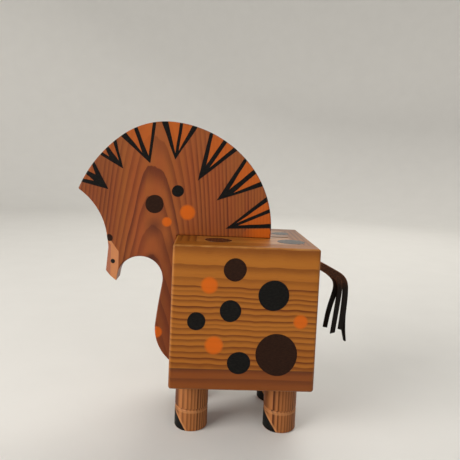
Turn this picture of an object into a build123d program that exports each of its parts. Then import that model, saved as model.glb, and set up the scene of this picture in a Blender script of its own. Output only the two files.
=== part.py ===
"""Block-bodied wooden horse: a glued box on four dowel legs, a flat sawn head plate, a leather tail.

Millimetres. +Z is up, +X points from the head to the tail, and the horse's left side faces -Y.
The origin is on the ground, at the middle of the wooden horse's length and width.
"""

import os
from math import pi, radians, tan

from build123d import *

# Body: a cube glued up from boards of one thickness
BODY_SIZE = 100.0
BOARD = 15.0
BODY_EDGE_RADIUS = 2.0

# Legs: dowels set through the bottom board, each with one turned ring groove
LEG_HEIGHT = 38.0
LEG_DIAMETER = 24.0
LEG_SPREAD = 23.0
FRONT_LEG_AHEAD = 34.0
REAR_LEG_BEHIND = 31.5
FOOT_RADIUS = 1.0
RING_HEIGHT = 15.5
RING_WIDTH = 2.2
RING_DEPTH = 0.8

# Head plate: its outline is measured from the body's front top edge, (back, up)
PLATE_THICKNESS = 18.0
PLATE_EDGE_RADIUS = 1.0
HEAD_OVERHANG = 73.3
FOREHEAD = (-73.6, 31.8)
MANE_FRONT = (-60.6, 54.6)
MANE_CREST = (-42.3, 72.6)
MANE_TOP = (-4.8, 83.7)
MANE_BACK = (50.6, 57.1)
MANE_FOOT = (70.2, 0.0)
CHEST_FOOT = (0.0, -98.3)
CHEST_BULGE = (-14.1, -67.5)
THROAT_CENTRE = (-26.6, -34.0)
THROAT_RADIUS = 17.0
THROAT_START_ANGLE = -9.7
THROAT_SWEEP = 179.7
CHIN = (-44.2, -36.0)
NOSE_TIP = (-53.1, -29.9)
NOSE_BRIDGE = (-51.4, -12.0)
BROW = (-56.0, 11.4)
FOREHEAD_RADIUS = 1.2

# Muzzle: two flats on each side thin the nose towards its front edge, (back, depth)
MUZZLE_FLATS = ((-42.3, 0.0), (-48.8, 2.2), (-51.9, 5.6), (-60.0, 14.5))
MUZZLE_STOP_FRONT = (-51.6, 0.0, -1.5)
MUZZLE_STOP_BACK = (-42.3, 0.0, -14.5)
MUZZLE_STOP_DEEP = (-51.9, 5.6, -12.0)
MUZZLE_CUT_TOP = 5.0
MUZZLE_CUT_FOOT = -45.0

# Head spline: a thin tongue, half in the top board's groove and half in a kerf under the plate
SPLINE_THICKNESS = 3.0
SPLINE_WIDTH = 12.0
SPLINE_START = 18.0
SPLINE_LENGTH = 48.0

# Tail: four flat thongs, packed in pairs and wedged by a peg in a hole through the rear board
TAIL_HOLE_DIAMETER = 8.0
TAIL_HOLE_HEIGHT = 82.0
PEG_RECESS = 4.0
PEG_CHAMFER = 0.6
THONG_DIAMETER = 3.0
THONG_PITCH = 1.6
BEND_SHARE = 0.45
# Each route is measured from the mouth of the tail hole, (back, to the right, up)
THONG_ROUTES = {
    "tail_thong_1": [
        (-PEG_RECESS, THONG_PITCH, -THONG_PITCH),
        (4.0, THONG_PITCH, -THONG_PITCH),
        (11.8, 1.6, -5.4),
        (19.2, 1.6, -9.8),
        (23.6, 1.7, -14.4),
        (24.7, 1.9, -20.0),
        (23.6, 2.2, -26.5),
        (21.6, 2.6, -35.2),
        (20.2, 3.1, -44.5),
        (19.4, 3.5, -53.2),
    ],
    "tail_thong_2": [
        (-PEG_RECESS, -THONG_PITCH, -THONG_PITCH),
        (4.0, -THONG_PITCH, -THONG_PITCH),
        (12.0, -1.6, -5.2),
        (19.6, -1.6, -9.1),
        (24.6, -1.7, -12.4),
        (26.6, -1.8, -17.5),
        (26.3, -2.0, -24.5),
        (25.4, -2.3, -34.5),
        (24.3, -2.7, -45.0),
        (23.1, -3.2, -55.2),
    ],
    "tail_thong_3": [
        (-PEG_RECESS, -THONG_PITCH, THONG_PITCH),
        (4.0, -THONG_PITCH, THONG_PITCH),
        (12.5, -1.6, -1.7),
        (21.2, -1.6, -6.1),
        (28.6, -1.6, -10.0),
        (32.0, -1.7, -15.0),
        (32.3, -1.8, -23.5),
        (31.6, -2.0, -33.5),
        (30.7, -2.2, -43.5),
        (29.7, -2.5, -52.5),
    ],
    "tail_thong_4": [
        (-PEG_RECESS, THONG_PITCH, THONG_PITCH),
        (4.0, THONG_PITCH, THONG_PITCH),
        (12.6, 1.6, -2.0),
        (21.4, 1.6, -6.4),
        (29.4, 1.7, -10.6),
        (33.0, 1.8, -15.8),
        (33.6, 1.9, -24.0),
        (33.2, 2.0, -34.0),
        (32.6, 2.2, -42.5),
        (32.9, 2.4, -51.0),
        (33.7, 2.6, -57.5),
        (34.8, 2.8, -63.2),
    ],
}

# Places worked out from the sizes above
BODY_X = HEAD_OVERHANG / 2
FRONT_X = BODY_X - BODY_SIZE / 2
REAR_X = BODY_X + BODY_SIZE / 2
PANEL_Z = LEG_HEIGHT + BOARD
PANEL_HEIGHT = BODY_SIZE - BOARD
TOP_Z = LEG_HEIGHT + BODY_SIZE
INNER_SIZE = BODY_SIZE - 2 * BOARD
BOARD_OFFSET = (BODY_SIZE - BOARD) / 2
GROOVE_DEPTH = SPLINE_WIDTH / 2
LEG_PLACES = {
    "front_left_leg": (BODY_X - FRONT_LEG_AHEAD, -LEG_SPREAD),
    "front_right_leg": (BODY_X - FRONT_LEG_AHEAD, LEG_SPREAD),
    "rear_left_leg": (BODY_X + REAR_LEG_BEHIND, -LEG_SPREAD),
    "rear_right_leg": (BODY_X + REAR_LEG_BEHIND, LEG_SPREAD),
}
HEAD_PLANE = Plane(origin=(FRONT_X, 0, TOP_Z), x_dir=(1, 0, 0), z_dir=(0, -1, 0))
TAIL_PLANE = Plane(origin=(REAR_X, 0, LEG_HEIGHT + TAIL_HOLE_HEIGHT), x_dir=(0, 1, 0), z_dir=(1, 0, 0))

os.makedirs("parts", exist_ok=True)


def save(part, name):
    """Labels a finished piece and writes it as its own file."""
    part.label = name
    export_step(part, f"parts/{name}.step")


# The rounded cube that every board of the body is trimmed to
with BuildPart() as body_shape:
    with BuildSketch(Plane.XY.offset(LEG_HEIGHT)):
        with Locations((BODY_X, 0)):
            Rectangle(BODY_SIZE, BODY_SIZE)
    extrude(amount=BODY_SIZE)
    fillet(body_shape.edges(), radius=BODY_EDGE_RADIUS)

# Bottom board, full length and width, with a through socket for each leg
with BuildPart() as bottom_board:
    with BuildSketch(Plane.XY.offset(LEG_HEIGHT)):
        with Locations((BODY_X, 0)):
            Rectangle(BODY_SIZE, BODY_SIZE)
        with Locations(*LEG_PLACES.values()):
            Circle(LEG_DIAMETER / 2, mode=Mode.SUBTRACT)
    extrude(amount=BOARD)
    add(body_shape.part, mode=Mode.INTERSECT)
save(bottom_board.part, "bottom_board")

# Side boards, full length, standing on the bottom board
for name, side in (("left_side_board", -1), ("right_side_board", 1)):
    with BuildPart() as side_board:
        with BuildSketch(Plane.XY.offset(PANEL_Z)):
            with Locations((BODY_X, side * BOARD_OFFSET)):
                Rectangle(BODY_SIZE, BOARD)
        extrude(amount=PANEL_HEIGHT)
        add(body_shape.part, mode=Mode.INTERSECT)
    save(side_board.part, name)

# Front and rear boards, held between the side boards
with BuildPart() as front_board:
    with BuildSketch(Plane.XY.offset(PANEL_Z)):
        with Locations((BODY_X - BOARD_OFFSET, 0)):
            Rectangle(BOARD, INNER_SIZE)
    extrude(amount=PANEL_HEIGHT)
    add(body_shape.part, mode=Mode.INTERSECT)
save(front_board.part, "front_board")

with BuildPart() as rear_board:
    with BuildSketch(Plane.XY.offset(PANEL_Z)):
        with Locations((BODY_X + BOARD_OFFSET, 0)):
            Rectangle(BOARD, INNER_SIZE)
    extrude(amount=PANEL_HEIGHT)
    add(body_shape.part, mode=Mode.INTERSECT)
    with BuildSketch(TAIL_PLANE):
        Circle(TAIL_HOLE_DIAMETER / 2)
    extrude(amount=-BOARD, mode=Mode.SUBTRACT)
save(rear_board.part, "rear_board")

# Top board, let in flush between the four walls, with a saw groove along its middle
with BuildPart() as top_board:
    with BuildSketch(Plane.XY.offset(TOP_Z)):
        with Locations((BODY_X, 0)):
            Rectangle(INNER_SIZE, INNER_SIZE)
    extrude(amount=-BOARD)
    with BuildSketch(Plane.XY.offset(TOP_Z)):
        with Locations((BODY_X, 0)):
            Rectangle(INNER_SIZE, SPLINE_THICKNESS)
    extrude(amount=-GROOVE_DEPTH, mode=Mode.SUBTRACT)
save(top_board.part, "top_board")

# Legs, turned from dowel
for name, place in LEG_PLACES.items():
    with BuildPart() as leg:
        with BuildSketch(Plane(origin=(*place, 0), x_dir=(1, 0, 0), z_dir=(0, -1, 0))):
            with BuildLine():
                radius = LEG_DIAMETER / 2
                Polyline(
                    (radius, RING_HEIGHT - RING_WIDTH / 2),
                    (radius, 0),
                    (0, 0),
                    (0, PANEL_Z),
                    (radius, PANEL_Z),
                    (radius, RING_HEIGHT + RING_WIDTH / 2),
                )
                ThreePointArc(
                    (radius, RING_HEIGHT + RING_WIDTH / 2),
                    (radius - RING_DEPTH, RING_HEIGHT),
                    (radius, RING_HEIGHT - RING_WIDTH / 2),
                )
            make_face()
        revolve(axis=Axis((*place, 0), (0, 0, 1)))
        fillet(leg.edges().group_by(Axis.Z)[0], radius=FOOT_RADIUS)
    save(leg.part, name)

# Wedges that the muzzle's flats take off the plate's left side
with BuildPart() as muzzle_cut:
    with BuildSketch(Plane.XY.offset(TOP_Z + MUZZLE_CUT_FOOT)):
        with BuildLine():
            flats = [(FRONT_X + back, depth - PLATE_THICKNESS / 2) for back, depth in MUZZLE_FLATS]
            Polyline(*flats, (flats[-1][0], flats[0][1]), close=True)
        make_face()
    extrude(amount=MUZZLE_CUT_TOP - MUZZLE_CUT_FOOT)
    front, back, deep = [
        Vector(FRONT_X + x, depth - PLATE_THICKNESS / 2, TOP_Z + z)
        for x, depth, z in (MUZZLE_STOP_FRONT, MUZZLE_STOP_BACK, MUZZLE_STOP_DEEP)
    ]
    stop_normal = (back - front).cross(deep - front)
    split(bisect_by=Plane(origin=front, z_dir=stop_normal), keep=Keep.BOTTOM)

# Head plate: mane rim, chest, throat, muzzle and face sawn from one board
with BuildPart() as head_plate:
    with BuildSketch(HEAD_PLANE) as head_outline:
        with BuildLine():
            front_rim = ThreePointArc(FOREHEAD, MANE_FRONT, MANE_CREST)
            top_rim = TangentArc(MANE_CREST, MANE_TOP, tangent=front_rim % 1)
            back_rim = TangentArc(MANE_TOP, MANE_BACK, tangent=top_rim % 1)
            TangentArc(MANE_BACK, MANE_FOOT, tangent=back_rim % 1)
            Polyline(MANE_FOOT, (0, 0), CHEST_FOOT)
            throat = CenterArc(THROAT_CENTRE, THROAT_RADIUS, THROAT_START_ANGLE, THROAT_SWEEP)
            neck = TangentArc(throat @ 0, CHEST_BULGE, tangent=-(throat % 0))
            TangentArc(CHEST_BULGE, CHEST_FOOT, tangent=neck % 1)
            Polyline(throat @ 1, CHIN, NOSE_TIP, NOSE_BRIDGE)
            ThreePointArc(NOSE_BRIDGE, BROW, FOREHEAD)
        make_face()
        fillet(head_outline.vertices().sort_by(Axis.X)[0], radius=FOREHEAD_RADIUS)
    extrude(amount=PLATE_THICKNESS / 2, both=True)
    rims = head_plate.faces().filter_by(Axis.Y)
    fillet(rims.edges(), radius=PLATE_EDGE_RADIUS)
    add(muzzle_cut.part, mode=Mode.SUBTRACT)
    add(muzzle_cut.part.mirror(Plane.XZ), mode=Mode.SUBTRACT)
    with BuildSketch(Plane.XY.offset(TOP_Z)):
        with Locations((FRONT_X + SPLINE_START, 0)):
            Rectangle(SPLINE_LENGTH, SPLINE_THICKNESS, align=(Align.MIN, Align.CENTER))
    extrude(amount=GROOVE_DEPTH, mode=Mode.SUBTRACT)
save(head_plate.part, "head_plate")

with BuildPart() as head_spline:
    with BuildSketch(Plane.XY.offset(TOP_Z)):
        with Locations((FRONT_X + SPLINE_START, 0)):
            Rectangle(SPLINE_LENGTH, SPLINE_THICKNESS, align=(Align.MIN, Align.CENTER))
    extrude(amount=GROOVE_DEPTH, both=True)
save(head_spline.part, "head_spline")

# Tail peg, driven in behind the thongs
with BuildPart() as tail_peg:
    with BuildSketch(TAIL_PLANE.offset(-BOARD)):
        Circle(TAIL_HOLE_DIAMETER / 2)
    extrude(amount=BOARD - PEG_RECESS)
    chamfer(tail_peg.edges().group_by(Axis.X)[0], length=PEG_CHAMFER)
save(tail_peg.part, "tail_peg")


def bend_radii(points):
    """The largest arc that each corner of a route has room for."""
    radii = []
    for before, corner, after in zip(points, points[1:], points[2:]):
        arriving = corner - before
        leaving = after - corner
        half_turn = radians(arriving.get_angle(leaving)) / 2
        radii.append(BEND_SHARE * min(arriving.length, leaving.length) / tan(half_turn))
    return radii


# Tail thongs: straight runs joined by tangent arcs
mouth = Vector(*TAIL_PLANE.origin)
for name, route in THONG_ROUTES.items():
    points = [mouth + Vector(*step) for step in route]
    radii = bend_radii(points)
    with BuildPart() as thong:
        with BuildLine():
            path = FilletPolyline(*points, radius=radii)
        with BuildSketch(Plane(origin=points[0], z_dir=points[1] - points[0])):
            Circle(THONG_DIAMETER / 2)
        sweep(path=path)
    print(name, "bend radii", [round(radius, 1) for radius in radii])
    section = pi * THONG_DIAMETER**2 / 4
    print(name, "length", round(path.length, 1), "by volume", round(thong.part.volume / section, 1))
    save(thong.part, name)
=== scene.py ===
"""Looks of the block-bodied wooden horse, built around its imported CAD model.

Everything is in the row frame: +Z up, +X from head to tail, the horse's left side faces -Y.
Marks are placed in millimetres from the middle of the body's underside, as (back, up).
"""

import random
from functools import partial
from math import acos, cos, hypot, pi, radians, sin, tau

import bpy
from mathutils import Matrix, Vector
from mathutils.bvhtree import BVHTree
from mathutils.geometry import delaunay_2d_cdt


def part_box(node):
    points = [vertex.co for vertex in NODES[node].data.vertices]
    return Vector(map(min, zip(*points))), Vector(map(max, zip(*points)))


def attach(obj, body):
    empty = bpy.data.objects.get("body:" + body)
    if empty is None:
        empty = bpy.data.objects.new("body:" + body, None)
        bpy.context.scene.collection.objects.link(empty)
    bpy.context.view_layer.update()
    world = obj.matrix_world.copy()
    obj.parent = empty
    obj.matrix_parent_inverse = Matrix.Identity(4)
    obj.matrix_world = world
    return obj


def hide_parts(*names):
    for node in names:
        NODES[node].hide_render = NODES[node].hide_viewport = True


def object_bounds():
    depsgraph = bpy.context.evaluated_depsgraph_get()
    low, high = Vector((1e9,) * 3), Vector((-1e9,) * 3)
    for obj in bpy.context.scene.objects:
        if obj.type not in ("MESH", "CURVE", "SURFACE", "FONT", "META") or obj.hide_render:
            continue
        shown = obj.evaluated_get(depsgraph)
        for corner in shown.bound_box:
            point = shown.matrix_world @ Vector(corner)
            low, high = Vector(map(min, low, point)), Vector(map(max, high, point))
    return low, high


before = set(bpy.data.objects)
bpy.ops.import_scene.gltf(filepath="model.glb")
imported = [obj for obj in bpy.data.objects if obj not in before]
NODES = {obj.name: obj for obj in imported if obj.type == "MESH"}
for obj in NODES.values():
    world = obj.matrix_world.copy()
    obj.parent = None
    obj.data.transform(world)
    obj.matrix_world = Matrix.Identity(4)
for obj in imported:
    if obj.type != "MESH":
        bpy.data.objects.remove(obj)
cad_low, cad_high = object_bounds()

MM = 0.001
BODY = "root"

# Places taken from the frame
BODY_LOW, BODY_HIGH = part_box("bottom_board")
BODY_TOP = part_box("left_side_board")[1].z
BODY_X = (BODY_LOW.x + BODY_HIGH.x) / 2
BODY_FOOT = BODY_LOW.z
PLATE_LOW, PLATE_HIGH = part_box("head_plate")
PEG_LOW, PEG_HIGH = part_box("tail_peg")
TAIL_MOUTH = Vector((BODY_HIGH.x, 0, (PEG_LOW.z + PEG_HIGH.z) / 2))


def spot(back, up, side=0.0):
    """A point so many millimetres behind and above the middle of the body's underside."""
    return Vector((BODY_X + back * MM, side, BODY_FOOT + up * MM))


def at_back(back):
    """The same place's x, in the millimetres of a material."""
    return spot(back, 0).x / MM


def at_height(up):
    """The same place's z, in the millimetres of a material."""
    return spot(0, up).z / MM


def add_object(name, data):
    """A new object in the scene."""
    thing = bpy.data.objects.new(name, data)
    bpy.context.scene.collection.objects.link(thing)
    return thing


# --- camera, floor and light ---

LENS, SENSOR_WIDTH = 39.1, 36
VIEW_SHIFT = -0.0615
# As spot() takes it: back and up in millimetres, to the side in metres
CAMERA_BACK, CAMERA_UP, CAMERA_SIDE = -27.9, 155.6, -0.3799
YAW, PITCH, ROLL = radians(2.54), radians(4.47), radians(2.52)


def add_camera():
    """A camera where the horse was seen from, a little above it and to its left."""
    ahead = Vector((sin(YAW) * cos(PITCH), cos(YAW) * cos(PITCH), -sin(PITCH)))
    level = Vector((cos(YAW), -sin(YAW), 0))
    upright = level.cross(ahead)
    across = cos(ROLL) * level + sin(ROLL) * upright
    up = cos(ROLL) * upright - sin(ROLL) * level
    data = bpy.data.cameras.new("camera")
    data.lens = LENS
    data.sensor_width = SENSOR_WIDTH
    data.shift_y = VIEW_SHIFT
    camera = add_object("camera", data)
    turn = Matrix((across, up, -ahead)).transposed().to_4x4()
    camera.matrix_world = Matrix.Translation(spot(CAMERA_BACK, CAMERA_UP, CAMERA_SIDE)) @ turn
    bpy.context.scene.camera = camera


# Each light's place in metres, size in metres, power in watts and colour
LIGHTS = {
    "key": ((-1.15, -0.75, 0.55), 1.0, 24.0, (1.0, 0.97, 0.92)),
    "fill": ((0.7, -1.2, 0.8), 1.2, 3.5, (0.93, 0.96, 1.0)),
    "back": ((0.5, 1.0, 1.3), 1.2, 14.0, (1.0, 0.97, 0.90)),
}
SKY_COLOUR, SKY_STRENGTH = (0.86, 0.84, 0.80, 1), 0.27


def add_light(name, place, size, power, colour):
    """A square soft box that faces the horse."""
    data = bpy.data.lights.new(name, "AREA")
    data.size = size
    data.energy = power
    data.color = colour
    light = add_object(name, data)
    light.location = place
    target = Vector((0, 0, BODY_TOP))
    light.rotation_euler = (target - Vector(place)).to_track_quat("-Z", "Y").to_euler()


def add_sky():
    """Even light from all round."""
    world = bpy.data.worlds.new("studio")
    world.use_nodes = True
    background = world.node_tree.nodes["Background"]
    background.inputs["Color"].default_value = SKY_COLOUR
    background.inputs["Strength"].default_value = SKY_STRENGTH
    bpy.context.scene.world = world


FLOOR_RADIUS = 1.5
COVE_RADIUS = 0.6
WALL_HEIGHT = 1.9
FLOOR_TURNS = 96
COVE_STEPS = 12
FLOOR_DULL, FLOOR_PALE = (0.72, 0.71, 0.69, 1), (0.76, 0.75, 0.73, 1)
FLOOR_GRAIN = 0.02
FLOOR_ROUGHNESS = 0.75


def add_floor():
    """A pale round floor that curves up into a wall all round."""
    profile = [(0.0, 0.0), (FLOOR_RADIUS / 2, 0.0)]
    for step in range(COVE_STEPS + 1):
        angle = pi / 2 * step / COVE_STEPS
        profile.append((FLOOR_RADIUS + COVE_RADIUS * sin(angle), COVE_RADIUS * (1 - cos(angle))))
    profile.append((FLOOR_RADIUS + COVE_RADIUS, WALL_HEIGHT))
    points = [(0, 0, 0)]
    for radius, height in profile[1:]:
        for turn in range(FLOOR_TURNS):
            angle = tau * turn / FLOOR_TURNS
            points.append((radius * cos(angle), radius * sin(angle), height))
    faces = [(0, 1 + turn, 1 + (turn + 1) % FLOOR_TURNS) for turn in range(FLOOR_TURNS)]
    for ring in range(len(profile) - 2):
        low = 1 + ring * FLOOR_TURNS
        for turn in range(FLOOR_TURNS):
            after = (turn + 1) % FLOOR_TURNS
            faces.append((low + turn, low + FLOOR_TURNS + turn, low + FLOOR_TURNS + after, low + after))
    mesh = bpy.data.meshes.new("floor")
    mesh.from_pydata(points, [], faces)
    mesh.shade_smooth()
    floor = add_object("floor", mesh)
    nodes = Nodes("floor")
    grain = nodes.noise(nodes.place, FLOOR_GRAIN, detail=3)
    nodes.colour(nodes.mix(grain, FLOOR_DULL, FLOOR_PALE))
    nodes.set(roughness=FLOOR_ROUGHNESS)
    mesh.materials.append(nodes.material)


# --- materials ---


class Nodes:
    """A material's node tree, written in short calls. Lengths inside it are in millimetres."""

    def __init__(self, name):
        self.material = bpy.data.materials.new(name)
        self.material.use_nodes = True
        self.tree = self.material.node_tree
        self.shader = self.tree.nodes["Principled BSDF"]
        coordinates = self.add("TexCoord").outputs["Object"]
        self.place = self.vector("SCALE", coordinates, scale=1 / MM)

    def add(self, kind, **settings):
        node = self.tree.nodes.new("ShaderNode" + kind)
        for name, value in settings.items():
            setattr(node, name, value)
        return node

    def feed(self, socket, value):
        if isinstance(value, bpy.types.NodeSocket):
            self.tree.links.new(value, socket)
        else:
            socket.default_value = value

    def feed_all(self, node, values):
        for socket, value in zip(node.inputs, values):
            self.feed(socket, value)

    def feed_named(self, node, **values):
        for name, value in values.items():
            self.feed(node.inputs[name.replace("_", " ")], value)

    def math(self, operation, *values, clamp=False):
        node = self.add("Math", operation=operation, use_clamp=clamp)
        self.feed_all(node, values)
        return node.outputs[0]

    def times(self, first, second):
        return self.math("MULTIPLY", first, second)

    def plus(self, first, second):
        return self.math("ADD", first, second)

    def minus(self, first, second):
        return self.math("SUBTRACT", first, second)

    def vector(self, operation, *values, scale=None):
        node = self.add("VectorMath", operation=operation)
        self.feed_all(node, values)
        if scale is not None:
            self.feed(node.inputs["Scale"], scale)
        return node.outputs["Value" if operation == "LENGTH" else "Vector"]

    def split(self, vector):
        node = self.add("SeparateXYZ")
        self.feed(node.inputs[0], vector)
        return node.outputs

    def step(self, value, low, high, start=0.0, end=1.0):
        """Rises smoothly from start to end as value goes from low to high."""
        node = self.add("MapRange", interpolation_type="SMOOTHSTEP")
        self.feed_all(node, (value, low, high, start, end))
        return node.outputs[0]

    def mix(self, factor, first, second):
        node = self.add("Mix", data_type="RGBA")
        self.feed(node.inputs[0], factor)
        self.feed(node.inputs[6], first)
        self.feed(node.inputs[7], second)
        return node.outputs[2]

    def noise(self, vector, scale, detail=2.0, roughness=0.5):
        node = self.add("TexNoise")
        self.feed_named(node, Vector=vector, Scale=scale, Detail=detail, Roughness=roughness)
        return node.outputs["Fac"]

    def random(self, value):
        node = self.add("TexWhiteNoise", noise_dimensions="1D")
        self.feed(node.inputs["W"], value)
        return node.outputs["Value"]

    def ball(self, centre, radius, soft):
        """1 inside a ball round a point of the row frame, and 0 outside it."""
        away = self.vector("LENGTH", self.vector("SUBTRACT", self.place, centre / MM))
        return self.step(away, radius - soft, radius + soft, 1.0, 0.0)

    def colour(self, socket):
        self.feed(self.shader.inputs["Base Color"], socket)

    def set(self, roughness=0.5, coat=0.0, coat_roughness=0.1, specular=0.5):
        self.feed_named(self.shader, Roughness=roughness, Coat_Weight=coat,
                        Coat_Roughness=coat_roughness, Specular_IOR_Level=specular)

    def bump(self, height, depth, strength=1.0):
        node = self.add("Bump")
        self.feed_named(node, Strength=strength, Distance=depth * MM, Height=height)
        self.feed(self.shader.inputs["Normal"], node.outputs[0])


# Colours are linear. Each wood has a light, a dark and a warm one
PINE = ((0.325, 0.112, 0.012, 1), (0.105, 0.021, 0.0013, 1), (0.27, 0.085, 0.008, 1))
# The top board's colours are a lighter copy of the pine: painted light for the brighter light on the top
# face
LIT_TOP = ((0.47, 0.198, 0.028, 1), (0.22, 0.055, 0.005, 1), (0.41, 0.150, 0.018, 1))
BASE = ((0.165, 0.043, 0.005, 1), (0.070, 0.015, 0.002, 1), (0.180, 0.043, 0.004, 1))
HEAD = ((0.245, 0.058, 0.014, 1), (0.070, 0.013, 0.006, 1), (0.250, 0.070, 0.014, 1))
DOWEL = ((0.36, 0.140, 0.045, 1), (0.070, 0.018, 0.005, 1), (0.25, 0.082, 0.021, 1))
BARE = ((0.55, 0.33, 0.15, 1), (0.36, 0.19, 0.08, 1), (0.55, 0.33, 0.15, 1))
HEAD_PALE = (0.230, 0.068, 0.018, 1)
CUT_TAN = (0.40, 0.155, 0.055, 1)
CUT_PINK = (0.21, 0.065, 0.032, 1)
WEAR_AND_HIGHLIGHT = (0.40, 0.185, 0.050, 1)
PALE_LIP = (0.48, 0.215, 0.085, 1)
GLUE_AND_SHADE_DARK = (0.05, 0.018, 0.006, 1)
KNOT_AND_SHADE_DARK = (0.035, 0.009, 0.006, 1)
ORANGE = (0.49, 0.091, 0.001, 1)
BLACK = (0.0045, 0.0045, 0.004, 1)
BLACK_WORN = (0.010, 0.009, 0.008, 1)
BROWN = (0.017, 0.0075, 0.0045, 1)
BROWN_WORN = (0.026, 0.011, 0.006, 1)
LEATHER_DARK = (0.0065, 0.005, 0.004, 1)
LEATHER_LIGHT = (0.016, 0.011, 0.008, 1)
LEATHER_RUBBED_AND_LIT = (0.26, 0.088, 0.034, 1)
LEATHER_RAW = (0.42, 0.26, 0.13, 1)

# How much the wood's pattern is drawn out along each grain direction
STREAK_SHARE = {"x": (0.07, 1, 1), "y": (1, 0.07, 1), "z": (1, 1, 0.07)}
JOINT_WIDTH, JOINT_DARKNESS = 0.30, 0.75
WEAR_AND_HIGHLIGHT_WIDTH = 1.7
GROOVE_HALF_WIDTH = 1.6


class Wood(Nodes):
    """Solid wood: growth rings, fibres along the grain and a clear lacquer."""

    def __init__(self, name, grain, colours, seed):
        super().__init__(name)
        self.light, self.dark, self.warm = colours
        self.seed = seed
        shifted = self.vector("ADD", self.place, (37.0 * seed, 11.0 * seed, 23.0 * seed))
        self.along = self.vector("MULTIPLY", shifted, STREAK_SHARE[grain])

    def wander(self, reach, size):
        """A slow sideways drift of the rings, up to reach millimetres either way."""
        drift = self.noise(self.along, 1 / size, detail=1.0)
        return self.times(self.minus(drift, 0.5), 2 * reach)

    def rings(self, count, rise=0.30, contrast=1.0):
        """Dark late wood towards the end of each ring, given a count of rings from the pith."""
        part = self.math("FRACT", count)
        gradual = self.step(part, rise, 0.94)
        late = self.times(gradual, self.step(part, 0.95, 1.0, 1.0, 0.0))
        number = self.plus(self.math("FLOOR", count), self.seed)
        weight = self.math("MULTIPLY_ADD", self.random(number), 0.6 * contrast, 0.4 * contrast)
        return self.times(late, weight)

    def finish_wood(self, late, streak=0.5, mottle=0.35, roughness=0.42, coat=0.10, specular=0.14):
        """Colours the wood from its late wood share, and adds fibres, pores and lacquer."""
        fibre = self.noise(self.along, 2.6, detail=3.0, roughness=0.65)
        cloud = self.noise(self.along, 0.09, detail=2.0)
        pores = self.step(self.noise(self.along, 1.5, detail=1.0), 0.66, 0.74)
        fibre_part = self.times(self.minus(fibre, 0.5), streak)
        shade = self.plus(late, fibre_part)
        shade = self.math("MULTIPLY_ADD", pores, 0.14, shade, clamp=True)
        warmth = self.step(cloud, 0.5 - mottle, 0.5 + mottle)
        base = self.mix(warmth, self.light, self.warm)
        self.look = self.mix(shade, base, self.dark)
        dullness = self.math("MULTIPLY_ADD", fibre, 0.14, roughness - 0.07)
        self.set(dullness, coat=coat, coat_roughness=0.16, specular=specular)
        self.bump(self.math("MULTIPLY_ADD", fibre, 0.5, late), 0.05, 0.6)

    def tint(self, share, colour):
        self.look = self.mix(share, self.look, colour)

    def edges(self, low, high):
        """Millimetres from the nearest edge of a box, for a point on its surface."""
        low_side = self.vector("SUBTRACT", self.place, low / MM)
        high_side = self.vector("SUBTRACT", high / MM, self.place)
        x, y, z = self.split(self.vector("MINIMUM", low_side, high_side))
        smaller = self.math("MINIMUM", x, y)
        larger = self.math("MAXIMUM", x, y)
        return self.math("MAXIMUM", smaller, self.math("MINIMUM", larger, z))

    def joint_lines(self, node):
        """A thin dark line where a board meets its neighbours."""
        seam = self.step(self.edges(*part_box(node)), 0.05, JOINT_WIDTH, JOINT_DARKNESS, 0.0)
        self.tint(seam, GLUE_AND_SHADE_DARK)

    def worn_and_lit_edges(self):
        """Pale along the rounded edges of the body: rubbed lacquer, with a painted highlight that is
        strongest just below the top edges.
        """
        top_corner = Vector((BODY_HIGH.x, BODY_HIGH.y, BODY_TOP))
        rubbed_and_lit = self.step(self.edges(BODY_LOW, top_corner), 0.6, WEAR_AND_HIGHLIGHT_WIDTH, 1.0, 0.0)
        patchy = self.step(self.noise(self.place, 0.12, detail=3.0), 0.3, 0.75, 0.25, 0.85)
        up = self.split(self.place)[2]
        # Painted highlight: the pale edge is strongest on the rounding just below the top face
        near_top = self.step(up, BODY_TOP / MM - 2.6, BODY_TOP / MM - 1.2, 0.4, 1.0)
        patchy = self.times(patchy, near_top)
        self.tint(self.times(rubbed_and_lit, patchy), WEAR_AND_HIGHLIGHT)

    def painted_groove_shade(self):
        """Painted shade in the saw groove below the top face."""
        _, y, z = self.split(self.place)
        sunk = self.step(z, BODY_TOP / MM - 0.30, BODY_TOP / MM - 0.05, 0.92, 0.0)
        near = self.step(self.math("ABSOLUTE", y), GROOVE_HALF_WIDTH, GROOVE_HALF_WIDTH + 0.4, 1.0, 0.0)
        # The groove is darkened with painted shade
        self.tint(self.times(sunk, near), GLUE_AND_SHADE_DARK)

    def orange_paint(self):
        """Thin orange paint over the wood, as strong as the film's own paint attribute says."""
        strength = self.add("Attribute", attribute_name="paint").outputs["Fac"]
        brushed = self.noise(self.along, 0.5, detail=2.0)
        cover = self.times(strength, self.step(brushed, 0.2, 0.8, 0.86, 1.0))
        self.tint(cover, ORANGE)

    def done(self):
        self.colour(self.look)
        return self.material


# The left side board's growth rings, counted up from the body's underside: a few middling ones,
# then many close ones, then ones that widen towards a plain band at the top
RING_START = -2.0
LOWER_RING, LOWER_COUNT = 7.0, 3
CLOSE_RING, CLOSE_COUNT, CLOSE_UNEVEN = 3.6, 14, 0.8
RING_GROWTH, UPPER_COUNT = 1.55, 4
SIDE_FALL, SIDE_CURVE, SIDE_RIPPLE = 0.011, 0.012, 2.2


def side_lines():
    """Heights of the dark lines, each one ring width above the last."""
    rng = random.Random(5)
    widths = [LOWER_RING] * LOWER_COUNT
    widths += [CLOSE_RING + rng.uniform(-CLOSE_UNEVEN, CLOSE_UNEVEN) for _ in range(CLOSE_COUNT)]
    widths += [CLOSE_RING * RING_GROWTH ** number for number in range(1, UPPER_COUNT + 1)]
    heights = [RING_START]
    for width in widths:
        heights.append(heights[-1] + width)
    return heights


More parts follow.
